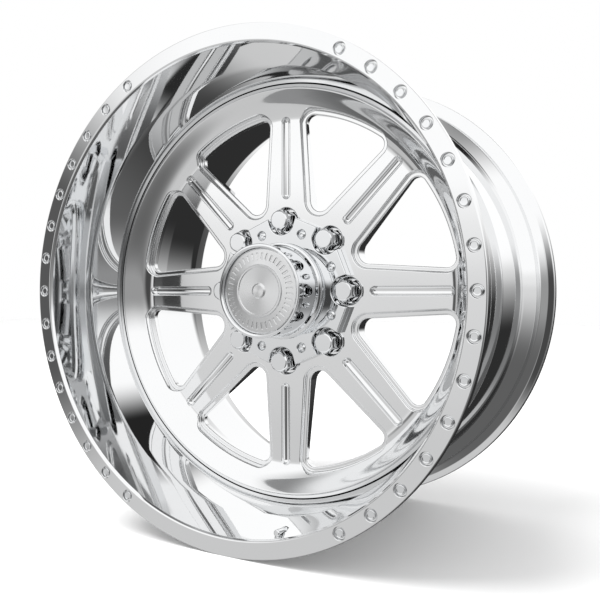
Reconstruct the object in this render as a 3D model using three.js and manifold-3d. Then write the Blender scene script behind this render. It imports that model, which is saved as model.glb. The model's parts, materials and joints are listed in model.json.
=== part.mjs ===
// A forged, polished, deep-lip truck wheel rim: 22 x 12 inch, eight lug nuts on a 180 mm circle.
// Millimetres, +Z up. The origin is the wheel's centre, half way across its width. The spin axis is Y
// and the street side faces -Y. A depth is a distance behind the street-side flange face.
import * as THREE from 'three';
import { mergeVertices } from 'three/addons/utils/BufferGeometryUtils.js';
import Module from 'manifold-3d';

const wasm = await Module();
wasm.setup();

// ---- driving dimensions ----
const FLANGE_RADIUS = 299.3; // rim diameter 563.6 plus two 17.5 flanges
const RIM_WIDTH = 328; // 12 inches between the beads plus two 11.6 flanges
const BEAD_RADIUS = 281.8;
const FACE_DEPTH = 136.5; // flat face of the spokes
const PAD_DEPTH = 168; // hub mounting pad, so the offset is -4
const PAD_RADIUS = 104;
const BORE_RADIUS = 62.05; // hub bore, 124.1 across
const DISC_RADIUS = 255;
const GAP = 0.3; // between pieces that touch
const RING_SIDES = 40;
const CAP_SIDES = 32;

const SPOKES = 8;
const SPOKE_PITCH = (2 * Math.PI) / SPOKES;
const WINDOW_INNER = { reach: 123.9, radius: 20 }; // round end beside the hub
const WINDOW_OUTER = { reach: 216, angle: 0.2165, radius: 16.5 }; // two corners beside the ring
const WINDOW_LEDGE = { width: 6, depth: 4.5 };
const GROOVE = { inner: 118.2, outer: 223.7, radius: 6.15, lift: 1.2 };

const LUG_CIRCLE = 90;
const LUG_POCKET = { radius: 17, depth: 148 };
const LUG_NUT = { front: 117.9, flats: 24, collar: 140, bore: 7 };
const STUD_HOLE = 7.8;

const LIP_BOLTS = 30;
const LIP_BOLT_PLACES = 42;
const LIP_BOLT_CIRCLE = 289.2;
const LIP_POCKET = { radius: 6.9, depth: 3.7 };
const LIP_HOLE = { radius: 2.95, depth: 10.8 };

const CAP = { front: 69.8, radius: 57.5, cavity: 51, flats: 92.8, plate: 124.5 };
const CAP_NOTCH = 18.5; // clears the lug pockets
const CAP_SCREW_CIRCLE = 76.8;
const CAP_SCREW = { head: 5.3, shank: 3, seat: 128, tip: 152 };

const VALVE = { angle: -0.237, lean: 0.108, mouth: 11, reach: 273.3, seat: -18.1, pocket: 4.9, shank: 2 };

// ---- materials ----
const metal = (color, roughness) => new THREE.MeshStandardMaterial({ color, roughness, metalness: 1 });
const POLISHED = () => metal(0xe4e5e7, 0.06);
const CHROME = () => metal(0xd9dcdf, 0.04);
const SATIN = () => metal(0xc9cbce, 0.28);
const BRASS = () => metal(0xb59a5b, 0.35);
const RUBBER = () => new THREE.MeshStandardMaterial({ color: 0x161616, roughness: 0.8, metalness: 0 });

// ---- solids ----
const y = (depth) => depth - RIM_WIDTH / 2;

function signedVolume(positions, triangles) {
  const corners = [0, 1, 2].map(() => new THREE.Vector3());
  let volume = 0;
  for (let i = 0; i < triangles.length; i += 3) {
    corners.forEach((corner, k) => corner.fromArray(positions, 3 * triangles[i + k]));
    volume += corners[0].dot(corners[1].cross(corners[2]));
  }
  return volume;
}

function solid(geometry) {
  const bare = geometry.clone();
  bare.deleteAttribute('normal');
  bare.deleteAttribute('uv');
  const merged = mergeVertices(bare, 1e-4);
  const triVerts = new Uint32Array(merged.index.array);
  const vertProperties = new Float32Array(merged.attributes.position.array);
  if (signedVolume(vertProperties, triVerts) < 0) triVerts.reverse();
  return new wasm.Manifold(new wasm.Mesh({ numProp: 3, vertProperties, triVerts }));
}

function piece(name, shape, material) {
  const { vertProperties, triVerts } = shape.getMesh();
  const geometry = new THREE.BufferGeometry();
  geometry.setAttribute('position', new THREE.BufferAttribute(new Float32Array(vertProperties), 3));
  geometry.setIndex(new THREE.BufferAttribute(new Uint32Array(triVerts), 1));
  geometry.computeVertexNormals();
  const mesh = new THREE.Mesh(geometry, material);
  mesh.name = name;
  return mesh;
}

// A solid of revolution about Y; the profile is a list of [radius, depth].
function turned(profile, sides = RING_SIDES) {
  const points = profile.map(([radius, depth]) => new THREE.Vector2(radius, y(depth)));
  return solid(new THREE.LatheGeometry(points, sides));
}

function ring(profile, sides = RING_SIDES) {
  return turned([...profile, profile[0]], sides);
}

// A round bar along Y between two depths, centred at a radius and an angle about the spin axis.
function bar(radius, from, to, reach = 0, angle = 0, sides = 16) {
  const cylinder = new THREE.CylinderGeometry(radius, radius, to - from, sides);
  cylinder.rotateY(Math.PI / sides);
  cylinder.translate(reach * Math.cos(angle), y((from + to) / 2), reach * Math.sin(angle));
  return solid(cylinder);
}

// An outline in X and Z carried straight back between two depths.
function slab(shape, from, to, curveSegments = 2) {
  const options = { depth: to - from, bevelEnabled: false, curveSegments };
  const geometry = new THREE.ExtrudeGeometry(shape, options);
  geometry.rotateX(Math.PI / 2);
  geometry.translate(0, y(to), 0);
  return solid(geometry);
}

const joined = (solids) => solids.reduce((all, next) => all.add(next));
const around = (count, offset, make) => joined(
  Array.from({ length: count }, (_, k) => make(offset + (k * 2 * Math.PI) / count)),
);

// ---- barrel ----
function lipBoltAngles() {
  const pitch = (2 * Math.PI) / LIP_BOLT_PLACES;
  const perSide = LIP_BOLTS / 2;
  const side = Array.from({ length: perSide }, (_, k) => (k - (perSide - 1) / 2) * pitch);
  return [...side, ...side.map((angle) => Math.PI + angle)];
}

function barrel() {
  const streetFlange = [
    [281.3, 0], [FLANGE_RADIUS - 1.2, 0], [FLANGE_RADIUS, 1.2], [FLANGE_RADIUS, 11], [298, 12.6],
    [288, 13.8], [284, 16],
  ];
  const tyreSide = [
    [BEAD_RADIUS, 20], [279.9, 42], [281.2, 47], [273.4, 62], [272.5, 112], [260.7, 146],
    [260.7, 205], [268, 274], [281.2, 295], [280.2, 299], [BEAD_RADIUS, 310],
  ];
  const rearFlange = [
    [285, 315], [298.3, 317], [FLANGE_RADIUS, 318.2], [FLANGE_RADIUS, RIM_WIDTH - 1.2],
    [FLANGE_RADIUS - 1.2, RIM_WIDTH], [282, RIM_WIDTH], [278.3, 322],
  ];
  const brakeSide = [[258.4, 276], [DISC_RADIUS + GAP, 205], [DISC_RADIUS + GAP, 124.3]];
  const lip = [[258.2, 124.3], [259.6, 120], [266.4, 60], [278.3, 3]];
  const body = ring([...streetFlange, ...tyreSide, ...rearFlange, ...brakeSide, ...lip]);
  const boltSeats = joined(lipBoltAngles().flatMap((angle) => [
    bar(LIP_POCKET.radius, -1, LIP_POCKET.depth, LIP_BOLT_CIRCLE, angle, 10),
    bar(LIP_HOLE.radius, 1, LIP_HOLE.depth, LIP_BOLT_CIRCLE, angle, 6),
  ]));
  return body.subtract(boltSeats).subtract(valveHole());
}

// ---- eight-spoke centre ----
function windowOutline(angle, inset) {
  const inner = WINDOW_INNER;
  const { reach, angle: spread, radius } = WINDOW_OUTER;
  const corner = [reach * Math.cos(spread), reach * Math.sin(spread)];
  const run = Math.hypot(corner[0] - inner.reach, corner[1]);
  const lean = Math.atan2(corner[1], corner[0] - inner.reach) - Math.asin((inner.radius - radius) / run);
  const side = Math.PI / 2 + lean;
  const place = (px, pz) => [
    px * Math.cos(angle) - pz * Math.sin(angle),
    px * Math.sin(angle) + pz * Math.cos(angle),
  ];
  const shape = new THREE.Shape();
  const arc = (centre, size, from, to) => (
    shape.absarc(...centre, size - inset, angle + from, angle + to, false)
  );
  arc([0, 0], reach + radius, -spread, spread);
  arc(place(corner[0], corner[1]), radius, spread, side);
  arc(place(inner.reach, 0), inner.radius, side, 2 * Math.PI - side);
  arc(place(corner[0], -corner[1]), radius, -side, -spread);
  return shape;
}

function wheelCentre() {
  const coneSteps = 3;
  const cone = Array.from({ length: coneSteps + 1 }, (_, k) => {
    const along = k / coneSteps;
    return [222 + 29.6 * along, FACE_DEPTH - 24.5 * along + 2.5 * Math.sin(Math.PI * along)];
  });
  const front = [[BORE_RADIUS, FACE_DEPTH + 1.5], [BORE_RADIUS + 1.5, FACE_DEPTH], ...cone];
  const crest = [[253.8, 111.6], [255, 114.6], [258.8, 115.6], [258.5, 118.5], [DISC_RADIUS, 121.5]];
  const back = [
    [DISC_RADIUS, 158], [254, 159], [240, 159], [229, 149.5], [200, 149.5], [130, 156], [110, 161],
    [PAD_RADIUS, PAD_DEPTH - 1.5], [PAD_RADIUS - 1.5, PAD_DEPTH], [BORE_RADIUS + 1.5, PAD_DEPTH],
    [BORE_RADIUS, PAD_DEPTH - 1.5],
  ];
  const blank = ring([...front, ...crest, ...back]);

  const windows = around(SPOKES, SPOKE_PITCH / 2, (angle) => joined([
    slab(windowOutline(angle, 0), 100, FACE_DEPTH + WINDOW_LEDGE.depth),
    slab(windowOutline(angle, WINDOW_LEDGE.width), 100, PAD_DEPTH + 5),
  ]));
  const grooves = around(SPOKES, 0, (angle) => {
    const straight = GROOVE.outer - GROOVE.inner - 2 * GROOVE.radius;
    const capsule = new THREE.CapsuleGeometry(GROOVE.radius, straight, 2, 10);
    capsule.rotateZ(Math.PI / 2);
    capsule.translate((GROOVE.inner + GROOVE.outer) / 2, y(FACE_DEPTH - GROOVE.lift), 0);
    capsule.rotateY(-angle);
    return solid(capsule);
  });
  const lugSeat = [
    [0, FACE_DEPTH - 1], [LUG_POCKET.radius, FACE_DEPTH - 1], [LUG_POCKET.radius, LUG_POCKET.depth],
    [12.5, LUG_POCKET.depth], [STUD_HOLE, LUG_POCKET.depth + 8.1], [STUD_HOLE, PAD_DEPTH + 1],
    [0, PAD_DEPTH + 1],
  ];
  const lugSeats = around(SPOKES, 0, (angle) => turned(lugSeat, 14).translate([
    LUG_CIRCLE * Math.cos(angle), 0, LUG_CIRCLE * Math.sin(angle),
  ]));
  const screwHoles = around(SPOKES, SPOKE_PITCH / 2, (angle) => (
    bar(CAP_SCREW.shank + GAP, FACE_DEPTH - 1, CAP_SCREW.tip + 1, CAP_SCREW_CIRCLE, angle, 8)
  ));
  return blank.subtract(windows).subtract(grooves).subtract(lugSeats).subtract(screwHoles);
}

// ---- fasteners, each made once about its own axis and then placed ----
function lipBolt() {
  const headFront = 1;
  const headBack = LIP_POCKET.depth - GAP;
  return joined([
    bar(5.2, headFront, headBack, 0, 0, 6),
    bar(LIP_HOLE.radius - 0.4, headBack - 0.5, LIP_HOLE.depth - 0.6, 0, 0, 6),
  ]);
}

function lugNut() {
  const { front, flats, collar, bore } = LUG_NUT;
  const corner = flats / Math.sqrt(3);
  const chamfer = turned([
    [0, front], [10.75, front], [corner + 0.6, front + 3.6], [corner + 0.6, collar], [0, collar],
  ], 12);
  const hex = bar(corner, front - 1, collar + 1, 0, 0, 6).intersect(chamfer);
  const seat = turned([
    [0, collar - 1], [12, collar - 1], [12, LUG_POCKET.depth - 0.4], [8, LUG_POCKET.depth + 6.9],
    [0, LUG_POCKET.depth + 6.9],
  ], 12);
  return hex.add(seat).subtract(bar(bore, front + 10, 170, 0, 0, 12));
}

function capScrew() {
  const { head, shank, seat, tip } = CAP_SCREW;
  const button = turned([
    [0, seat - 3.2], [3, seat - 3.2], [head, seat - 1.2], [head, seat - GAP], [shank, seat - GAP],
    [shank, tip], [0, tip],
  ], 10);
  return button.subtract(bar(2, seat - 4, seat - 1.4, 0, 0, 6));
}

// ---- centre cap ----
function capBody() {
  const { front, radius, cavity, flats, plate } = CAP;
  const back = FACE_DEPTH - GAP;
  const rim = [
    [0, front + 6.6], [52.6, front + 6.6], [52.6, front + 1.4], [54, front], [56.3, front],
    [radius, front + 1.6], [radius, front + 9],
  ];
  const waist = [[55.4, front + 10.6], [54.6, front + 14], [56.6, 116], [60.5, 118], [61.5, 121.5]];
  const foot = [[60, plate + 0.5], [60, back], [cavity, back], [cavity, front + 12], [0, front + 12]];
  const neck = turned([...rim, ...waist, ...foot], CAP_SIDES);
  const octagon = bar(flats / Math.cos(Math.PI / 8), plate, back, 0, 0, SPOKES);
  const notches = around(SPOKES, 0, (angle) => (
    bar(CAP_NOTCH, plate - 1, FACE_DEPTH, LUG_CIRCLE, angle, 14)
  ));
  const screwSeats = around(SPOKES, SPOKE_PITCH / 2, (angle) => joined([
    bar(CAP_SCREW.head + 0.9, plate - 1, CAP_SCREW.seat, CAP_SCREW_CIRCLE, angle, 10),
    bar(CAP_SCREW.shank + GAP, plate, FACE_DEPTH, CAP_SCREW_CIRCLE, angle, 8),
  ]));
  const base = joined([notches, screwSeats, bar(cavity + 2, plate - 1, FACE_DEPTH)]);
  return neck.add(octagon.subtract(base));
}

function capFace() {
  const back = CAP.front + 6.3;
  const dome = [[0, 70.6], [20, 70.9], [38, 71.8], [50.8, 73], [52.2, 74]];
  return turned([...dome, [52.2, back], [0, back]], CAP_SIDES);
}

// ---- tyre valve: it lies in a pocket in the lip and leads under the bead seat into the tyre ----
const valveForward = new THREE.Vector3(0, -Math.cos(VALVE.lean), Math.sin(VALVE.lean));
const valveTurn = new THREE.Quaternion().setFromUnitVectors(new THREE.Vector3(0, 1, 0), valveForward);

// A solid about the valve's axis; the profile is a list of [radius, distance in front of the mouth].
function onValve(profile, sides = 12) {
  const points = profile.map(([radius, along]) => new THREE.Vector2(radius, along));
  const geometry = new THREE.LatheGeometry(points, sides);
  geometry.applyQuaternion(valveTurn);
  geometry.translate(0, y(VALVE.mouth), -VALVE.reach);
  return solid(geometry);
}

function valveHole() {
  const { pocket, seat, shank } = VALVE;
  const hole = onValve([
    [0, seat - 34], [shank + GAP, seat - 34], [shank + GAP, seat], [pocket, seat], [pocket, 12], [0, 12],
  ]);
  return hole.rotate([0, THREE.MathUtils.radToDeg(VALVE.angle), 0]);
}

function valvePieces() {
  const { pocket, seat, shank } = VALVE;
  const stem = onValve([
    [0, seat - 30], [shank, seat - 30], [shank, -15], [pocket - GAP, -15], [pocket - GAP, -13], [3, -13],
    [3, 0], [0, 0],
  ]);
  const stemBore = onValve([[0, seat - 31], [0.8, seat - 31], [0.8, -14], [1.9, -14], [1.9, 1], [0, 1]]);
  const [sealBack, sealFront] = [seat + GAP, -15 - GAP];
  const seal = [
    [shank + GAP, sealBack], [pocket - GAP, sealBack], [pocket - GAP, sealFront], [shank + GAP, sealFront],
    [shank + GAP, sealBack],
  ];
  const core = [[0.75, -12], [1.6, -12], [1.6, -0.6], [0.75, -0.6], [0.75, -12]];
  const pin = [[0, -13], [0.45, -13], [0.45, 0.9], [0, 0.9]];
  const cap = [[0, 1.8], [3.3, 1.8], [3.3, -8], [3.9, -8], [3.9, 2.2], [3.1, 3], [0, 3]];
  return [
    piece('valve_stem', stem.subtract(stemBore), CHROME()),
    piece('valve_seal', onValve(seal), RUBBER()),
    piece('valve_core', onValve(core, 8), BRASS()),
    piece('valve_core_pin', onValve(pin, 8), BRASS()),
    piece('valve_cap', onValve(cap), CHROME()),
  ];
}

// ---- assembly ----
function placedRound(name, shape, material, angles, reach, digits) {
  return angles.map((angle, k) => {
    const mesh = piece(`${name}_${String(k + 1).padStart(digits, '0')}`, shape, material());
    mesh.position.set(reach * Math.cos(angle), 0, reach * Math.sin(angle));
    return mesh;
  });
}

const spokeAngles = Array.from({ length: SPOKES }, (_, k) => k * SPOKE_PITCH);
const tabAngles = spokeAngles.map((angle) => angle + SPOKE_PITCH / 2);

const valve = new THREE.Group();
valve.rotation.y = VALVE.angle;
valve.add(...valvePieces());

const wheel = new THREE.Group();
wheel.add(
  piece('barrel', barrel(), POLISHED()),
  piece('wheel_centre', wheelCentre(), POLISHED()),
  ...placedRound('lip_bolt', lipBolt(), CHROME, lipBoltAngles(), LIP_BOLT_CIRCLE, 2),
  ...placedRound('lug_nut', lugNut(), CHROME, spokeAngles, LUG_CIRCLE, 1),
  piece('centre_cap_body', capBody(), CHROME()),
  piece('centre_cap_face', capFace(), SATIN()),
  ...placedRound('cap_screw', capScrew(), CHROME, tabAngles, CAP_SCREW_CIRCLE, 1),
  valve,
);

export default wheel;
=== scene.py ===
"""Fine meshes and procedural metals for the forged deep-lip wheel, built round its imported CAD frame.

Shapes are worked out in millimetres as (x, depth, z): depth is the distance behind the street-side
flange face, and the spin axis is Y through the origin.
"""
import json
import math

import bpy
import numpy as np
from mathutils import Matrix, Vector
from mathutils.bvhtree import BVHTree


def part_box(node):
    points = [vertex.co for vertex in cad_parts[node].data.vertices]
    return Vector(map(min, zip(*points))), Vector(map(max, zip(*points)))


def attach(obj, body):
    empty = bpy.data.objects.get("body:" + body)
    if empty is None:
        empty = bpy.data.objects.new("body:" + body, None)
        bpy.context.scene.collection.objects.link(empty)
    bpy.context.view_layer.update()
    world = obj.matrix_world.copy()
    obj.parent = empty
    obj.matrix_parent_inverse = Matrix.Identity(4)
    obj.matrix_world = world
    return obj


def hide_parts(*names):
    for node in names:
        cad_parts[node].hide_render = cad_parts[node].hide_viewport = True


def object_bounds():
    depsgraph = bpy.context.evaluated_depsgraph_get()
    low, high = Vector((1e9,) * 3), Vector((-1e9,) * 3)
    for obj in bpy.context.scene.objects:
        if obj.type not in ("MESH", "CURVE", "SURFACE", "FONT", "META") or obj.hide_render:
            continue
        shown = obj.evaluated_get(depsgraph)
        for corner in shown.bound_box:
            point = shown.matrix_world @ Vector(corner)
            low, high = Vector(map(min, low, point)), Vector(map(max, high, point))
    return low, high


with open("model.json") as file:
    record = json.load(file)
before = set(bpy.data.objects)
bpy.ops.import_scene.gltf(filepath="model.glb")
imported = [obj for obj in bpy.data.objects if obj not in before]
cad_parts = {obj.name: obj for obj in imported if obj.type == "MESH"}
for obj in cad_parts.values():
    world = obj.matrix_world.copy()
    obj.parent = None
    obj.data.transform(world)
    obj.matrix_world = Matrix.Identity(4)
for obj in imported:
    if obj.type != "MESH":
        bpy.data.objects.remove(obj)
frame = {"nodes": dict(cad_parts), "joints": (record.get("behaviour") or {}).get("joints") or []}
cad_low, cad_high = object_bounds()
FRONT = cad_low.y
WIDTH = (cad_high.y - cad_low.y) * 1000
FLANGE = cad_high.x * 1000

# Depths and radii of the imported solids, in millimetres
SPOKES = 8
PITCH = 2 * math.pi / SPOKES
FACE = 136.5  # flat face of the spokes
PAD = 168.0  # hub mounting pad
LEDGE = 141.0  # the step inside each window
LEDGE_WIDTH = 6.0
BORE = 62.05
LUG_CIRCLE = 90.0
POCKET_RADIUS = 17.0
POCKET = 148.0  # floor of a lug nut's pocket
SCREW_CIRCLE = 76.8
SCREW_SEAT = 128.0
CAP_FRONT = 69.8
CAP_PLATE = 124.5  # front of the cap's base plate
CAP_BACK = 136.2
LIP_POCKET_RADIUS = 6.9
LIP_POCKET_DEPTH = 3.7

RING_SEGMENTS = 576
SMOOTH_ANGLE = 32.0  # faces that meet at less than this many degrees are shaded together


# ---- mesh helpers ----
def to_world(points):
    """(x, depth, z) in millimetres to the row frame in metres."""
    points = np.asarray(points, float)
    return np.stack([points[:, 0] / 1000, FRONT + points[:, 1] / 1000, points[:, 2] / 1000], 1)


def new_mesh(name, points, faces):
    mesh = bpy.data.meshes.new(name)
    mesh.from_pydata([tuple(p) for p in points], [], [tuple(int(i) for i in f) for f in faces])
    mesh.update()
    return mesh


def rounded(corners, steps=6, closed=True):
    """A profile of [radius, depth, fillet] corners, with each corner turned into an arc."""
    out = []
    count = len(corners)
    for i, (r, d, fillet) in enumerate(corners):
        here = np.array([r, d], float)
        if fillet <= 0 or (not closed and i in (0, count - 1)):
            out.append(here)
            continue
        back = np.array(corners[i - 1][:2], float) - here
        ahead = np.array(corners[(i + 1) % count][:2], float) - here
        back, ahead = back / np.linalg.norm(back), ahead / np.linalg.norm(ahead)
        half = math.acos(np.clip(back @ ahead, -1, 1)) / 2
        reach = fillet / math.tan(half)
        middle = (back + ahead) / np.linalg.norm(back + ahead)
        centre = here + middle * fillet / math.sin(half)
        start, end = here + back * reach - centre, here + ahead * reach - centre
        turn = math.pi - 2 * half
        for k in range(steps + 1):
            share = k / steps
            arm = (math.sin((1 - share) * turn) * start + math.sin(share * turn) * end) / math.sin(turn)
            out.append(centre + arm)
    return np.array(out)


def lathe(profile, segments=RING_SEGMENTS, closed=True):
    """Points and faces of a solid of revolution about Y. An open profile starts and ends on the axis."""
    angles = 2 * math.pi * np.arange(segments) / segments
    points, rows = [], []
    for r, d in profile:
        if r < 1e-6:
            rows.append([len(points)] * segments)
            points.append((0, d, 0))
        else:
            rows.append(list(range(len(points), len(points) + segments)))
            points.extend((r * math.cos(a), d, r * math.sin(a)) for a in angles)
    pairs = list(zip(rows, rows[1:] + rows[:1])) if closed else list(zip(rows, rows[1:]))
    faces = []
    for one, two in pairs:
        for k in range(segments):
            n = (k + 1) % segments
            loop = [one[k], one[n], two[n], two[k]]
            loop = [v for i, v in enumerate(loop) if v != loop[i - 1]]
            if len(loop) > 2:
                faces.append(loop)
    return facing_out(np.array(points, float), faces)


def facing_out(points, faces):
    """The same closed surface, with its faces turned to point out."""
    volume = 0.0
    for f in faces:
        for i in range(1, len(f) - 1):
            volume += points[f[0]] @ np.cross(points[f[i]], points[f[i + 1]])
    return points, (faces if volume > 0 else [f[::-1] for f in faces])


def stack(rings):
    """A closed solid through equal-length rings of (x, depth, z) points, capped at both ends."""
    count = len(rings[0])
    points = np.concatenate(rings)
    faces = []
    for level in range(len(rings) - 1):
        low, high = level * count, (level + 1) * count
        faces += [[low + k, low + (k + 1) % count, high + (k + 1) % count, high + k] for k in range(count)]
    faces.append(list(range(count))[::-1])
    faces.append(list(range(len(points) - count, len(points))))
    return facing_out(points, faces)


def merged(parts):
    points, faces, base = [], [], 0
    for p, f in parts:
        points.append(p)
        faces += [[v + base for v in face] for face in f]
        base += len(p)
    return np.concatenate(points), faces


def corner_normals(mesh, limit=SMOOTH_ANGLE):
    """One normal per face corner: faces within the limit are smoothed together, large ones leading."""
    loops = len(mesh.loops)
    vertex = np.zeros(loops, np.int64)
    mesh.loops.foreach_get("vertex_index", vertex)
    total = np.zeros(len(mesh.polygons), np.int64)
    mesh.polygons.foreach_get("loop_total", total)
    face = np.repeat(np.arange(len(total)), total)
    normal = np.zeros(len(total) * 3)
    mesh.polygons.foreach_get("normal", normal)
    normal = normal.reshape(-1, 3)
    area = np.zeros(len(total))
    mesh.polygons.foreach_get("area", area)
    order = np.argsort(vertex, kind="stable")
    counts = np.bincount(vertex, minlength=len(mesh.vertices))
    first = np.concatenate([[0], np.cumsum(counts)[:-1]])
    here = np.repeat(np.arange(loops), counts[vertex])
    step = np.arange(len(here)) - np.repeat(np.cumsum(counts[vertex]) - counts[vertex], counts[vertex])
    other = order[first[vertex[here]] + step]
    close = (normal[face[here]] * normal[face[other]]).sum(1) > math.cos(math.radians(limit))
    weight = np.where(close, area[face[other]] ** 1.5 + 1e-18, 0)
    out = np.zeros((loops, 3))
    for axis in range(3):
        out[:, axis] = np.bincount(here, weight * normal[face[other], axis], minlength=loops)
    return out / np.maximum(np.linalg.norm(out, axis=1, keepdims=True), 1e-30)


def shade(mesh, normals=None):
    mesh.polygons.foreach_set("use_smooth", [True] * len(mesh.polygons))
    normals = corner_normals(mesh) if normals is None else normals
    mesh.normals_split_custom_set([tuple(n) for n in normals])
    return mesh


def carved(name, blank, cutters):
    """The blank less the cutters. Each face keeps the smooth normals of the surface it was cut from."""
    sources, objects = [], []
    for label, (points, faces), sign in (("blank", blank, 1), ("cutter", merged(cutters), -1)):
        mesh = new_mesh(label, to_world(points), faces)
        normals = corner_normals(mesh) * sign
        corners = []
        for polygon in mesh.polygons:
            loops = list(polygon.loop_indices)
            for i in range(1, len(loops) - 1):
                corners.append((loops[0], loops[i], loops[i + 1]))
        places = [mesh.loops[i].vertex_index for trio in corners for i in trio]
        sources.append((np.array([v.co for v in mesh.vertices]), np.array(places).reshape(-1, 3),
                        normals[np.array(corners)]))
        thing = bpy.data.objects.new(label, mesh)
        bpy.context.scene.collection.objects.link(thing)
        objects.append(thing)
    body, tool = objects
    cut = body.modifiers.new("cut", "BOOLEAN")
    cut.operation, cut.solver, cut.object = "DIFFERENCE", "MANIFOLD", tool
    graph = bpy.context.evaluated_depsgraph_get()
    result = bpy.data.meshes.new_from_object(body.evaluated_get(graph))
    result.name = name
    result.materials.clear()
    for thing in objects:
        bpy.data.objects.remove(thing)

    shift = len(sources[0][0])
    points = np.concatenate([sources[0][0], sources[1][0]])
    trios = np.concatenate([sources[0][1], sources[1][1] + shift])
    normals = np.concatenate([sources[0][2], sources[1][2]])
    tree = BVHTree.FromPolygons([tuple(p) for p in points], [tuple(t) for t in trios.tolist()])
    a, b, c = (points[trios[:, k]] for k in range(3))
    flat = np.cross(b - a, c - a)
    flat /= np.maximum(np.linalg.norm(flat, axis=1, keepdims=True), 1e-30)
    owner = np.zeros(len(result.polygons), np.int64)
    for polygon in result.polygons:
        found = tree.find_nearest_range(polygon.center, 3e-6) or [tree.find_nearest(polygon.center)]
        facing = np.array(polygon.normal)
        owner[polygon.index] = max(found, key=lambda f: abs(flat[f[2]] @ facing) - 200 * f[3])[2]
    total = np.zeros(len(owner), np.int64)
    result.polygons.foreach_get("loop_total", total)
    vertex = np.zeros(len(result.loops), np.int64)
    result.loops.foreach_get("vertex_index", vertex)
    at = np.array([v.co for v in result.vertices])[vertex]
    mine = np.repeat(owner, total)
    u, v, w = b[mine] - a[mine], c[mine] - a[mine], at - a[mine]
    uu, uv, vv = (u * u).sum(1), (u * v).sum(1), (v * v).sum(1)
    wu, wv = (w * u).sum(1), (w * v).sum(1)
    under = np.maximum(uu * vv - uv * uv, 1e-30)
    s = np.clip((vv * wu - uv * wv) / under, -1.1, 2.1)
    t = np.clip((uu * wv - uv * wu) / under, -1.1, 2.1)
    made = (normals[mine, 0] * (1 - s - t)[:, None] + normals[mine, 1] * s[:, None]
            + normals[mine, 2] * t[:, None])
    made /= np.maximum(np.linalg.norm(made, axis=1, keepdims=True), 1e-30)
    return shade(result, made)


def turned(name, profile, segments, closed=False):
    points, faces = lathe(profile, segments, closed)
    return shade(new_mesh(name, points / 1000, faces))


def put(name, mesh, material, body, node, place=(0, 0, 0), turn=None):
    """A piece standing for a CAD node."""
    thing = bpy.data.objects.new(name, mesh)
    bpy.context.scene.collection.objects.link(thing)
    thing.location = place
    if turn is not None:
        thing.rotation_mode = "QUATERNION"
        thing.rotation_quaternion = turn
    if not mesh.materials:
        mesh.materials.append(material)
    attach(thing, body)
    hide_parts(node)
    return thing


def centre_line(node):
    """The middle of a CAD node's box in X and Z, at the street-side flange face."""
    low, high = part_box(node)
    return Vector(((low.x + high.x) / 2, FRONT, (low.z + high.z) / 2))


def around(x, z, angle):
    return x * math.cos(angle) - z * math.sin(angle), x * math.sin(angle) + z * math.cos(angle)


def round_stack(x, z, radius, levels, segments=48):
    """A vertical round cutter: levels are (inset, depth)."""
    angles = 2 * math.pi * np.arange(segments) / segments
    return stack([np.stack([x + (radius - inset) * np.cos(angles), np.full(segments, depth),
                            z + (radius - inset) * np.sin(angles)], 1) for inset, depth in levels])


def edge_levels(fillet, lift=3.0):
    """(inset, drop) of a cutter that rounds the edge where it enters a face."""
    levels = [(-1.09 * fillet, -lift), (-1.09 * fillet, -0.042 * fillet)]
    for degrees in (12, 27, 42, 57, 72, 90):
        a = math.radians(degrees)
        levels.append((fillet * (math.sin(a) - 1), fillet * (1 - math.cos(a))))
    return levels


def step_levels(inset, depth, fillet, steps=5):
    """(inset, depth) round the inside corner between a wall and the ledge or floor below it."""
    return [(inset + fillet * (1 - math.cos(a)), depth - fillet * (1 - math.sin(a)))
            for a in np.linspace(0, math.pi / 2, steps + 1)]


def lip_levels(inset, depth, fillet, steps=5):
    """(inset, depth) over the rounded edge where a ledge turns down into a second wall."""
    return [(inset - fillet * (1 - math.sin(a)), depth + fillet * (1 - math.cos(a)))
            for a in np.linspace(0, math.pi / 2, steps + 1)]


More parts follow.
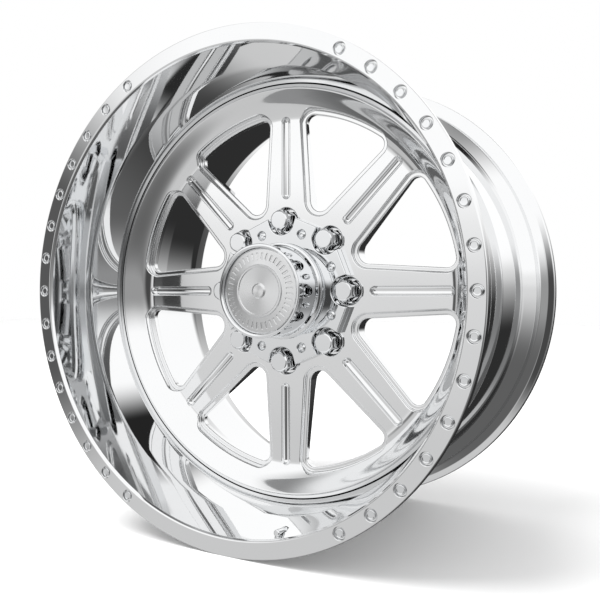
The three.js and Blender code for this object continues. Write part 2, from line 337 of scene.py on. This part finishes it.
# ---- materials ----
def polished(name, colour, roughness, marks=0.0, mark_scale=900.0, scratches=0.02, anisotropy=0.0):
    """Polished metal: cloudy buffing in the roughness, faint hairlines, and turning marks about the axis."""
    material = bpy.data.materials.new(name)
    material.use_nodes = True
    tree = material.node_tree
    nodes, link = tree.nodes, tree.links.new
    shader = nodes["Principled BSDF"]
    shader.inputs["Metallic"].default_value = 1.0
    shader.inputs["Anisotropic"].default_value = anisotropy
    where = nodes.new("ShaderNodeTexCoord")

    clouds = nodes.new("ShaderNodeTexNoise")
    clouds.inputs["Scale"].default_value = 14.0
    clouds.inputs["Detail"].default_value = 4.0
    link(where.outputs["Object"], clouds.inputs["Vector"])
    rough = nodes.new("ShaderNodeMapRange")
    rough.inputs["To Min"].default_value = roughness * 0.7
    rough.inputs["To Max"].default_value = roughness * 1.3
    link(clouds.outputs["Fac"], rough.inputs["Value"])
    link(rough.outputs["Result"], shader.inputs["Roughness"])
    tint = nodes.new("ShaderNodeMix")
    tint.data_type = "RGBA"
    tint.inputs["A"].default_value = (*[c * 0.97 for c in colour], 1)
    tint.inputs["B"].default_value = (*colour, 1)
    link(clouds.outputs["Fac"], tint.inputs["Factor"])
    link(tint.outputs["Result"], shader.inputs["Base Color"])

    hairs = nodes.new("ShaderNodeTexNoise")
    hairs.inputs["Scale"].default_value = 260.0
    hairs.inputs["Detail"].default_value = 2.0
    stretch = nodes.new("ShaderNodeMapping")
    stretch.inputs["Scale"].default_value = (1.0, 1.0, 0.06)
    link(where.outputs["Object"], stretch.inputs["Vector"])
    link(stretch.outputs["Vector"], hairs.inputs["Vector"])
    bump = nodes.new("ShaderNodeBump")
    bump.inputs["Strength"].default_value = scratches
    bump.inputs["Distance"].default_value = 0.00005
    link(hairs.outputs["Fac"], bump.inputs["Height"])
    last = bump
    if marks:
        split = nodes.new("ShaderNodeSeparateXYZ")
        link(where.outputs["Object"], split.inputs["Vector"])
        flat = nodes.new("ShaderNodeCombineXYZ")
        link(split.outputs["X"], flat.inputs["X"])
        link(split.outputs["Z"], flat.inputs["Z"])
        radius = nodes.new("ShaderNodeVectorMath")
        radius.operation = "LENGTH"
        link(flat.outputs["Vector"], radius.inputs[0])
        rings = nodes.new("ShaderNodeTexNoise")
        rings.noise_dimensions = "1D"
        rings.inputs["Scale"].default_value = mark_scale
        rings.inputs["Detail"].default_value = 1.0
        link(radius.outputs["Value"], rings.inputs["W"])
        turning = nodes.new("ShaderNodeBump")
        turning.inputs["Strength"].default_value = marks
        turning.inputs["Distance"].default_value = 0.00005
        link(rings.outputs["Fac"], turning.inputs["Height"])
        link(bump.outputs["Normal"], turning.inputs["Normal"])
        last = turning
    link(last.outputs["Normal"], shader.inputs["Normal"])
    if anisotropy:
        tangent = nodes.new("ShaderNodeTangent")
        tangent.direction_type, tangent.axis = "RADIAL", "Y"
        link(tangent.outputs["Tangent"], shader.inputs["Tangent"])
    return material


def rubber(name):
    material = bpy.data.materials.new(name)
    material.use_nodes = True
    nodes, link = material.node_tree.nodes, material.node_tree.links.new
    shader = nodes["Principled BSDF"]
    shader.inputs["Base Color"].default_value = (0.02, 0.02, 0.02, 1)
    grain = nodes.new("ShaderNodeTexNoise")
    grain.inputs["Scale"].default_value = 900.0
    rough = nodes.new("ShaderNodeMapRange")
    rough.inputs["To Min"].default_value, rough.inputs["To Max"].default_value = 0.6, 0.9
    link(grain.outputs["Fac"], rough.inputs["Value"])
    link(rough.outputs["Result"], shader.inputs["Roughness"])
    return material


ALUMINIUM = polished("polished_aluminium", (0.85, 0.855, 0.86), 0.03, marks=0.01)
DISC = polished("polished_spokes", (0.85, 0.855, 0.86), 0.055, marks=0.006)
CHROME = polished("chrome", (0.84, 0.85, 0.86), 0.03, scratches=0.01)
BOLT = polished("bolt_chrome", (0.82, 0.83, 0.84), 0.05, scratches=0.015)
SATIN = polished("satin_metal", (0.8, 0.805, 0.81), 0.3, marks=0.06, mark_scale=2500.0, anisotropy=0.75)
BRASS = polished("brass", (0.72, 0.58, 0.32), 0.3, scratches=0.05)
RUBBER = rubber("rubber")


# ---- barrel ----
def barrel_mesh():
    """The rim's section as [radius, depth, fillet] corners, carved for the lip bolts and the valve."""
    street_flange = [(279.4, 0, 2.2), (FLANGE, 0, 1.6), (FLANGE, 11.6, 2.4), (291, 13.2, 5), (281.8, 19, 6)]
    tyre_side = [
        (279.9, 42, 2), (281.2, 47, 3), (273.4, 62, 6), (272.5, 112, 20), (260.7, 146, 20),
        (260.7, 205, 30), (268, 274, 12), (281.2, 295, 4), (280.2, 299, 3), (281.8, 309.5, 5),
    ]
    rear_flange = [
        (291, 315.8, 5), (FLANGE, 317.2, 2), (FLANGE, WIDTH, 1.6), (282, WIDTH, 3), (277.5, 321, 10),
    ]
    brake_side = [(258.4, 276, 60), (255.3, 205, 60), (255.3, 124.3, 0.8)]
    lip = [(258.2, 124.3, 0.8), (259.6, 120, 5), (266.4, 60, 120), (277.6, 3.5, 2.5)]
    blank = lathe(rounded(street_flange + tyre_side + rear_flange + brake_side + lip, 8))
    cutters = []
    for node in BOLTS:
        place = centre_line(node)
        levels = edge_levels(0.7, 2.0) + step_levels(0, LIP_POCKET_DEPTH, 0.6)
        levels += [(4.0, LIP_POCKET_DEPTH), (4.0, 10.8)]
        cutters.append(round_stack(place.x * 1000, place.z * 1000, LIP_POCKET_RADIUS, levels, 40))
    cutters.append(valve_pocket())
    return carved("barrel", blank, cutters)


# ---- spoked centre ----
def centre_profile():
    """The disc's section: front and back as [radius, depth] runs, outwards."""
    a, b, c, d = (np.array(p, float) for p in ((218, FACE), (231, FACE), (240, 124), (252.2, 111.7)))
    bend = [(1 - t) ** 3 * a + 3 * (1 - t) ** 2 * t * b + 3 * (1 - t) * t * t * c + t ** 3 * d
            for t in np.linspace(0, 1, 25)]
    front = [(BORE, FACE + 1.5), (62.5, FACE + 0.5), (63.5, FACE)] + [tuple(p) for p in bend]
    crest = rounded([(252.2, 111.7, 0), (253.7, 110.7, 1.2), (255.2, 114.6, 1.5), (259.2, 115.6, 0.3),
                     (258.9, 118.5, 0.3), (255, 121.5, 0)], 6, closed=False)[1:]
    back = [(255, 158, 0), (254, 159, 0.4), (240, 159, 3), (229, 149.5, 6), (200, 149.5, 40),
            (130, 156, 40), (110, 161, 6), (104, PAD - 1.5, 1), (102.5, PAD, 0.6), (63.55, PAD, 0.4),
            (BORE, PAD - 1.5, 0)]
    back = rounded(back, 5, closed=False)
    return front, [tuple(p) for p in crest], [tuple(p) for p in back]


FRONT_RUN, CREST_RUN, BACK_RUN = centre_profile()


def front_depth(radius):
    run = np.array(FRONT_RUN[2:])
    return np.interp(radius, run[:, 0], run[:, 1])


def back_depth(radius):
    run = np.array(BACK_RUN)[::-1]
    keep = run[:, 0] > 63.6
    return np.interp(radius, run[keep, 0], run[keep, 1])


def window_outline(angle, inset):
    inner_reach, inner_radius = 123.9, 20.0
    reach, spread, radius = 216.0, 0.2165, 16.5
    cx, cz = reach * math.cos(spread), reach * math.sin(spread)
    run = math.hypot(cx - inner_reach, cz)
    side = math.pi / 2 + math.atan2(cz, cx - inner_reach) - math.asin((inner_radius - radius) / run)
    out = []

    def arc(x, z, size, start, end, steps):
        x, z = around(x, z, angle)
        for k in range(steps):
            a = angle + start + (end - start) * k / (steps - 1)
            out.append((x + (size - inset) * math.cos(a), z + (size - inset) * math.sin(a)))

    arc(0, 0, reach + radius, -spread, spread, 24)
    arc(cx, cz, radius, spread, side, 18)
    arc(inner_reach, 0, inner_radius, side, 2 * math.pi - side, 20)
    arc(cx, -cz, radius, -side, -spread, 18)
    flat = np.array(out)
    keep = [i for i in range(len(flat)) if np.linalg.norm(flat[i] - flat[i - 1]) > 1e-4]
    return flat[keep]


def follow(outline, rings):
    """Rings of a cutter: each is (inset, base, offset), the base being a depth or a surface by radius."""
    out = []
    for inset, base, offset in rings:
        flat = outline(inset)
        depth = base(np.hypot(flat[:, 0], flat[:, 1])) if callable(base) else np.full(len(flat), float(base))
        out.append(np.stack([flat[:, 0], depth + offset, flat[:, 1]], 1))
    return stack(out)


def window_cutter(angle):
    rings = [(i, front_depth, d) for i, d in edge_levels(1.9)]
    rings += [(i, d, 0) for i, d in step_levels(0.2, LEDGE, 1.5)]
    rings += [(i, d, 0) for i, d in lip_levels(LEDGE_WIDTH, LEDGE, 1.8)]
    rings += [(LEDGE_WIDTH + i, back_depth, -d) for i, d in edge_levels(1.2)[::-1]]
    return follow(lambda inset: window_outline(angle, inset), rings)


def stadium(start, end, half, angle, inset, steps=14):
    """A slot's outline along a radius, shrunk by the inset."""
    size, out = half - inset, []
    for middle, base in ((end, -math.pi / 2), (start, math.pi / 2)):
        for k in range(steps + 1):
            a = base + math.pi * k / steps
            out.append(around(middle + size * math.cos(a), size * math.sin(a), angle))
    return np.array(out)


def groove_cutter(angle):
    radius, lift, start, end = 6.15, 1.2, 118.2, 223.7
    half = math.sqrt(radius ** 2 - lift ** 2)
    rings = [(-0.95, front_depth, -3), (-0.95, front_depth, -0.04), (-0.6, front_depth, 0.03),
             (-0.3, front_depth, 0.14), (-0.02, front_depth, 0.36), (0.14, front_depth, 0.62)]
    for degrees in (20, 30, 40, 50, 60, 70, 79, 86):
        a = math.radians(degrees)
        rings.append((half - radius * math.cos(a), front_depth, radius * math.sin(a) - lift))
    return follow(lambda inset: stadium(start + radius, end - radius, half, angle, inset), rings)


def centre_mesh():
    blank = lathe(FRONT_RUN + CREST_RUN + BACK_RUN[1:])
    cutters = []
    for k in range(SPOKES):
        spoke, gap = k * PITCH, (k + 0.5) * PITCH
        cutters += [window_cutter(gap), groove_cutter(spoke)]
        x, z = around(LUG_CIRCLE, 0, spoke)
        levels = [(i, FACE + d) for i, d in edge_levels(1.5)] + step_levels(0, POCKET, 2)
        levels += [(4.5, POCKET), (9.2, POCKET + 8.1), (9.2, PAD - 1), (8.2, PAD), (7.2, PAD + 3)]
        cutters.append(round_stack(x, z, POCKET_RADIUS, levels, 64))
        x, z = around(SCREW_CIRCLE, 0, gap)
        levels = [(i, FACE + d) for i, d in edge_levels(0.4)] + [(0, 152.6), (2.6, 154)]
        cutters.append(round_stack(x, z, 3.3, levels, 24))
    return carved("wheel_centre", blank, cutters)


# ---- fasteners ----
def bolt_mesh():
    """A flush round head with a shallow dished top, from its own centre line; depth as in the wheel."""
    shape = rounded([(0, 0.55, 0), (3.4, 0.5, 2), (4.2, 0.25, 0.6), (5.2, 0.35, 0.7), (5.2, 3.4, 0.2),
                     (2.55, 3.4, 0.2), (2.55, 10.2, 0.5), (0, 10.2, 0)], 5, closed=False)
    return turned("lip_bolt", shape, 40)


def nut_mesh():
    """A closed-looking chromed nut: hexagon with a turned front chamfer over a round seat."""
    front, flats, collar, sides = 117.9, 24.0, 140.0, 72
    corner = flats / math.sqrt(3)
    angles = 2 * math.pi * np.arange(sides) / sides
    sector = (angles + math.pi / 6) % (math.pi / 3) - math.pi / 6
    eased = 0.36  # how far the corners are rounded off
    hexagon = (corner * math.cos(math.pi / 6)) / np.cos(sector)
    hexagon = np.minimum(hexagon, corner - eased * (1 - np.abs(np.cos(sector * 3))))
    rings = []

    def ring(limit, depth):
        size = np.minimum(hexagon, limit)
        rings.append(np.stack([size * np.cos(angles), np.full(sides, depth), size * np.sin(angles)], 1))

    ring(9.6, front)
    ring(10.5, front + 0.06)
    ring(11.0, front + 0.45)
    for s in np.linspace(0.15, 1, 8):
        ring(11.0 + (corner - 11.0) * s, front + 0.45 + 3.3 * s ** 1.25)
    ring(corner, collar - 0.3)
    ring(12.0, collar)
    ring(12.0, POCKET - 0.4)
    ring(8.0, POCKET + 6.8)
    ring(7.0, POCKET + 6.9)
    ring(7.0, front + 11)
    points, faces = stack(rings)
    return shade(new_mesh("lug_nut", points / 1000, faces))


def cap_screw_mesh():
    """The blank of a button-head screw, and the cutter of its hexagon socket."""
    seat = SCREW_SEAT
    blank = lathe(rounded([(0, seat - 3.2, 0), (3.0, seat - 3.15, 1.2), (5.3, seat - 1.4, 1.2),
                           (5.3, seat - 0.3, 0.2), (3.0, seat - 0.3, 0.1), (3.0, 152, 0.5), (0, 152, 0)],
                          6, closed=False), 40, closed=False)
    return blank, [round_stack(0, 0, 2, [(0, seat - 4), (0, seat - 1.5), (1.9, seat - 1.2)], 6)]


# ---- centre cap ----
def cap_body_mesh():
    front, plate, back, cavity = CAP_FRONT, CAP_PLATE, CAP_BACK, 51.0
    neck = rounded([
        (0, front + 6.6, 0), (52.6, front + 6.6, 0.3), (52.6, front + 1.2, 0.9), (54.6, front, 0.9),
        (57.5, front + 0.2, 1.4), (57.5, front + 9.4, 1.0), (54.9, front + 11.2, 1.5), (54.5, front + 16, 3),
        (56.4, 112, 8), (58.2, 116.5, 1.5), (61.0, 117.6, 0.8), (61.5, 121.0, 0.8), (59.6, 122.6, 1.0),
        (60.5, plate + 0.3, 1.2), (60.5, back, 0), (cavity, back, 0.5), (cavity, front + 12, 2),
        (0, front + 12, 0)], 6, closed=False)
    return lathe(neck, 160, closed=False)


def tab_outline(inset):
    """Eight tabs between the nuts: an octagon scalloped round each nut."""
    flats, reach, notch = 92.8, LUG_CIRCLE, 18.5
    angles = 2 * math.pi * np.arange(720) / 720
    sector = (angles % PITCH) - PITCH / 2
    size = (flats - inset) / np.cos(sector)
    near = np.abs((angles + PITCH / 2) % PITCH - PITCH / 2)
    gap = (notch + inset) ** 2 - (reach * np.sin(near)) ** 2
    inner = np.where(gap > 0, reach * np.cos(near) - np.sqrt(np.maximum(gap, 0)), 1e3)
    size = np.minimum(size, inner)
    return np.stack([size * np.cos(angles), size * np.sin(angles)], 1)


def cap_base_mesh():
    plate, back = CAP_PLATE, CAP_BACK
    rings = []
    for inset, depth in ((1.6, plate), (0.9, plate + 0.12), (0.35, plate + 0.5), (0, plate + 1.3),
                         (0, back - 0.4), (0.4, back)):
        flat = tab_outline(inset)
        rings.append(np.stack([flat[:, 0], np.full(len(flat), depth), flat[:, 1]], 1))
    blank = stack(rings)
    cutters = [round_stack(0, 0, 60.2, [(0, plate - 3), (0, back + 3)], 160)]
    for k in range(SPOKES):
        x, z = around(SCREW_CIRCLE, 0, (k + 0.5) * PITCH)
        levels = [(i, plate + d) for i, d in edge_levels(0.7, 2)] + step_levels(0, SCREW_SEAT, 0.5)
        levels += [(2.9, SCREW_SEAT), (2.9, back + 2)]
        cutters.append(round_stack(x, z, 6.2, levels, 40))
    return carved("centre_cap_base", blank, cutters)


def dish_depth(radius):
    """The depth of the cap face's shallow cone, out to its rim."""
    return 72.2 + np.maximum(radius - 30, 0) * 0.12


def cap_face_mesh():
    """A spun dish with a low centre boss, a raised ring and short radial ticks cut near the rim."""
    ticks = 40
    dome = rounded([(0, 70.2, 0), (7.5, 70.25, 1.5), (9.6, 71.9, 1.2), (28.6, 72.1, 0.5), (29.4, 71.3, 0.5),
                    (31.6, 71.3, 0.5), (32.4, 72.5, 0.5), (50.4, 74.65, 1.2), (52.2, 75.1, 0.4),
                    (52.2, 76.1, 0.2), (0, 76.1, 0)], 6, closed=False)
    levels = [(-0.45, -2), (-0.45, -0.03), (-0.2, 0.06), (0, 0.25), (0.1, 0.5), (0.45, 0.75)]
    cutters = []
    for k in range(ticks):
        angle = 2 * math.pi * (k + 0.5) / ticks
        cutters.append(follow(lambda inset: stadium(39.0, 45.5, 1.15, angle, inset, 8),
                              [(i, dish_depth, d) for i, d in levels]))
    return carved("cap_disc", lathe(dome, 240, closed=False), cutters)


# ---- valve: along its own slanting axis in the lip ----
def valve_frame():
    """The mouth of the stem and the forward direction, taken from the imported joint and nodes."""
    joint = next(j for j in frame["joints"] if j["name"] == "valve_cap_unscrew")
    forward = Vector(joint["axis"]).normalized()
    low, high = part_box("valve_core_pin")
    pin_middle_to_mouth = 0.00605
    return (low + high) / 2 + forward * pin_middle_to_mouth, forward


VALVE_MOUTH, VALVE_FORWARD = valve_frame()
VALVE_TURN = Vector((0, 1, 0)).rotation_difference(VALVE_FORWARD)


def valve_pocket():
    """The barrel's cutter for the valve, through [radius, distance in front of the mouth]."""
    levels = [(4.9, 12), (4.9, -18.1), (2.3, -18.1), (2.3, -52.1)]
    segments = 48
    rings = []
    for radius, along in levels:
        ring = []
        for k in range(segments):
            a = 2 * math.pi * k / segments
            local = Vector((radius * math.cos(a), along, radius * math.sin(a))) / 1000
            p = VALVE_TURN @ local + VALVE_MOUTH
            ring.append((p.x * 1000, (p.y - FRONT) * 1000, p.z * 1000))
        rings.append(np.array(ring))
    return stack(rings)


# ---- put everything together ----
BOLTS = sorted(n for n in frame["nodes"] if n.startswith("lip_bolt"))
put("barrel_fine", barrel_mesh(), ALUMINIUM, "wheel", "barrel")
put("wheel_centre_fine", centre_mesh(), DISC, "wheel", "wheel_centre")

shared_bolt, shared_nut = bolt_mesh(), nut_mesh()
for node in BOLTS:
    put(node + "_fine", shared_bolt, BOLT, "wheel", node, centre_line(node))
for k in range(1, SPOKES + 1):
    node = f"lug_nut_{k}"
    put(node + "_fine", shared_nut, CHROME, node, node, centre_line(node))

points, faces = cap_body_mesh()
put("centre_cap_neck", shade(new_mesh("neck", to_world(points), faces)), CHROME, "centre_cap",
    "centre_cap_body")
base = bpy.data.objects.new("centre_cap_base", cap_base_mesh())
bpy.context.scene.collection.objects.link(base)
base.data.materials.append(CHROME)
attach(base, "centre_cap")
put("centre_cap_disc", cap_face_mesh(), SATIN, "centre_cap", "centre_cap_face")
blank, cutters = cap_screw_mesh()
shared_screw = carved("cap_screw", blank, cutters)
shared_screw.transform(Matrix.Translation((0, -FRONT, 0)))
for k in range(1, SPOKES + 1):
    node = f"cap_screw_{k}"
    put(node + "_fine", shared_screw, CHROME, "centre_cap", node, centre_line(node))

# Sections as [radius, distance in front of the mouth, fillet] corners about the valve's axis
valve_parts = {
    "valve_stem": ("wheel", CHROME, "chrome", [
        (0.8, -14, 0), (0.8, -48.1, 0), (2.0, -48.1, 0.3), (2.0, -15, 0.1), (4.6, -15, 0.3),
        (4.6, -13, 0.3), (3.0, -13, 0.1), (3.0, 0, 0.3), (1.9, 0, 0.2), (1.9, -14, 0)]),
    "valve_seal": ("wheel", RUBBER, "rubber", [
        (2.3, -17.8, 0.3), (4.6, -17.8, 0.8), (4.6, -15.3, 0.8), (2.3, -15.3, 0.3)]),
    "valve_core": ("wheel", BRASS, "brass", [
        (0.75, -12, 0.1), (1.6, -12, 0.2), (1.6, -0.6, 0.2), (0.75, -0.6, 0.1)]),
    "valve_core_pin": ("valve_pin", BRASS, "brass", [
        (0, -13, 0), (0.45, -13, 0.1), (0.45, 0.9, 0.2), (0, 0.9, 0)]),
    "valve_cap": ("valve_cap", CHROME, "chrome", [
        (0, 1.8, 0), (3.3, 1.8, 0.3), (3.3, -8, 0.1), (3.9, -8, 0.2), (3.9, 2.4, 0.9), (2.6, 3, 0.4),
        (0, 3, 0)]),
}
for node, (body, material, slot_name, corners) in valve_parts.items():
    closed = corners[0][0] > 0
    mesh = turned(node, rounded(corners, 5, closed), 40, closed)
    put(node + "_fine", mesh, material, body, node, VALVE_MOUTH, VALVE_TURN)


# ---- studio ----
def compass(azimuth, elevation):
    """The direction at an azimuth from -Y, positive to the right, and an elevation, in degrees."""
    a, e = math.radians(azimuth), math.radians(elevation)
    return Vector((math.sin(a) * math.cos(e), -math.cos(a) * math.cos(e), math.sin(e)))


# The sky by elevation, and soft patches over it: [azimuth, elevation, half width, half height, softness,
# brightness, share], angles in degrees.
SKY = [(-90, 0.62), (-40, 0.66), (-12, 0.68), (-6, 0.74), (0, 0.8), (4, 0.95), (9, 1.15), (90, 1.15)]
PATCHES = [
    (-78, 5, 32, 60, 0.3, 0.58, 0.9),
    (48, -12, 44, 22, 0.35, 0.36, 1.0),
    (84, -50, 38, 42, 0.4, 0.16, 1.0),
    (125, -58, 78, 42, 0.35, 0.13, 1.0),
    (175, -24, 34, 32, 0.3, 0.03, 1.0),
    (158, 52, 20, 14, 0.5, 0.02, 1.0),
    (13, -6, 19, 14, 0.4, 0.07, 1.0),
    (-50, 1, 10, 12, 0.45, 0.11, 1.0),
]


def sky(world):
    """Reflections see the sky and its patches, and the camera a plain white background."""
    nodes, link = world.node_tree.nodes, world.node_tree.links.new
    where = nodes.new("ShaderNodeTexCoord").outputs["Generated"]

    def maths(operation, first, second=None):
        node = nodes.new("ShaderNodeMath")
        node.operation = operation
        for socket, value in zip(node.inputs, (first, second)):
            if value is None:
                continue
            if isinstance(value, (int, float)):
                socket.default_value = value
            else:
                link(value, socket)
        return node.outputs[0]

    def along(direction):
        node = nodes.new("ShaderNodeVectorMath")
        node.operation = "DOT_PRODUCT"
        link(where, node.inputs[0])
        node.inputs[1].default_value = direction
        return node.outputs["Value"]

    height = maths("DIVIDE", maths("ARCSINE", along((0, 0, 1))), math.pi)
    ramp = nodes.new("ShaderNodeValToRGB")
    link(maths("ADD", height, 0.5), ramp.inputs["Fac"])
    ramp.color_ramp.interpolation = "EASE"
    stops = ramp.color_ramp.elements
    while len(stops) < len(SKY):
        stops.new(0.5)
    for stop, (elevation, value) in zip(stops, SKY):
        stop.position = 0.5 + elevation / 180
        stop.color = (value, value, value, 1)
    colour = ramp.outputs["Color"]
    for azimuth, elevation, wide, tall, soft, value, share in PATCHES:
        ahead = compass(azimuth, elevation)
        across = ahead.cross(Vector((0, 0, 1))).normalized()
        upward = across.cross(ahead)
        forward = maths("MAXIMUM", along(ahead), 0.0)
        wander = maths("ARCTAN2", along(across), forward)
        climb = maths("ARCTAN2", along(upward), forward)
        u = maths("DIVIDE", wander, math.radians(wide))
        v = maths("DIVIDE", climb, math.radians(tall))
        reach = maths("SQRT", maths("ADD", maths("MULTIPLY", u, u), maths("MULTIPLY", v, v)))
        fade = nodes.new("ShaderNodeMapRange")
        fade.interpolation_type = "SMOOTHSTEP"
        fade.inputs["From Min"].default_value, fade.inputs["From Max"].default_value = 1 - soft, 1 + soft
        fade.inputs["To Min"].default_value, fade.inputs["To Max"].default_value = share, 0.0
        link(reach, fade.inputs["Value"])
        mix = nodes.new("ShaderNodeMix")
        mix.data_type = "RGBA"
        link(fade.outputs["Result"], mix.inputs["Factor"])
        link(colour, mix.inputs["A"])
        mix.inputs["B"].default_value = (value, value, value, 1)
        colour = mix.outputs["Result"]
    seen = nodes.new("ShaderNodeLightPath")
    mix = nodes.new("ShaderNodeMix")
    mix.data_type = "RGBA"
    link(seen.outputs["Is Camera Ray"], mix.inputs["Factor"])
    link(colour, mix.inputs["A"])
    mix.inputs["B"].default_value = (1, 1, 1, 1)
    link(mix.outputs["Result"], nodes["Background"].inputs["Color"])


def studio():
    world = bpy.data.worlds.new("studio")
    bpy.context.scene.world = world
    world.use_nodes = True
    sky(world)

    half = 6.0
    z = cad_low.z
    floor_mesh = new_mesh("floor", [(-half, -half, z), (half, -half, z), (half, half, z), (-half, half, z)],
                          [(0, 1, 2, 3)])
    floor = bpy.data.objects.new("floor", floor_mesh)
    bpy.context.scene.collection.objects.link(floor)
    floor.visible_glossy = False
    paper = bpy.data.materials.new("paper")
    paper.use_nodes = True
    paper.node_tree.nodes["Principled BSDF"].inputs["Base Color"].default_value = (0.95, 0.95, 0.95, 1)
    paper.node_tree.nodes["Principled BSDF"].inputs["Roughness"].default_value = 0.9
    floor_mesh.materials.append(paper)

    lamp_data = bpy.data.lights.new("softbox", "AREA")
    lamp_data.shape, lamp_data.size, lamp_data.energy = "DISK", 2.4, 120.0
    lamp = bpy.data.objects.new("softbox", lamp_data)
    bpy.context.scene.collection.objects.link(lamp)
    lamp.location = (-1.1, -1.2, 2.9)
    lamp.rotation_mode = "QUATERNION"
    lamp.rotation_quaternion = (-lamp.location).to_track_quat("-Z", "Y")
    lamp.visible_glossy = False


def camera():
    data = bpy.data.cameras.new("camera")
    data.lens, data.sensor_width = 44.765, 36.0
    data.shift_y = -0.01505
    data.clip_start, data.clip_end = 0.01, 50.0
    thing = bpy.data.objects.new("camera", data)
    bpy.context.scene.collection.objects.link(thing)
    thing.location = (0.4900, -0.8531, 0.0)
    thing.rotation_euler = (math.radians(90), 0, math.radians(29.607))
    bpy.context.scene.camera = thing


studio()
camera()
bpy.context.scene.view_settings.view_transform = "Standard"
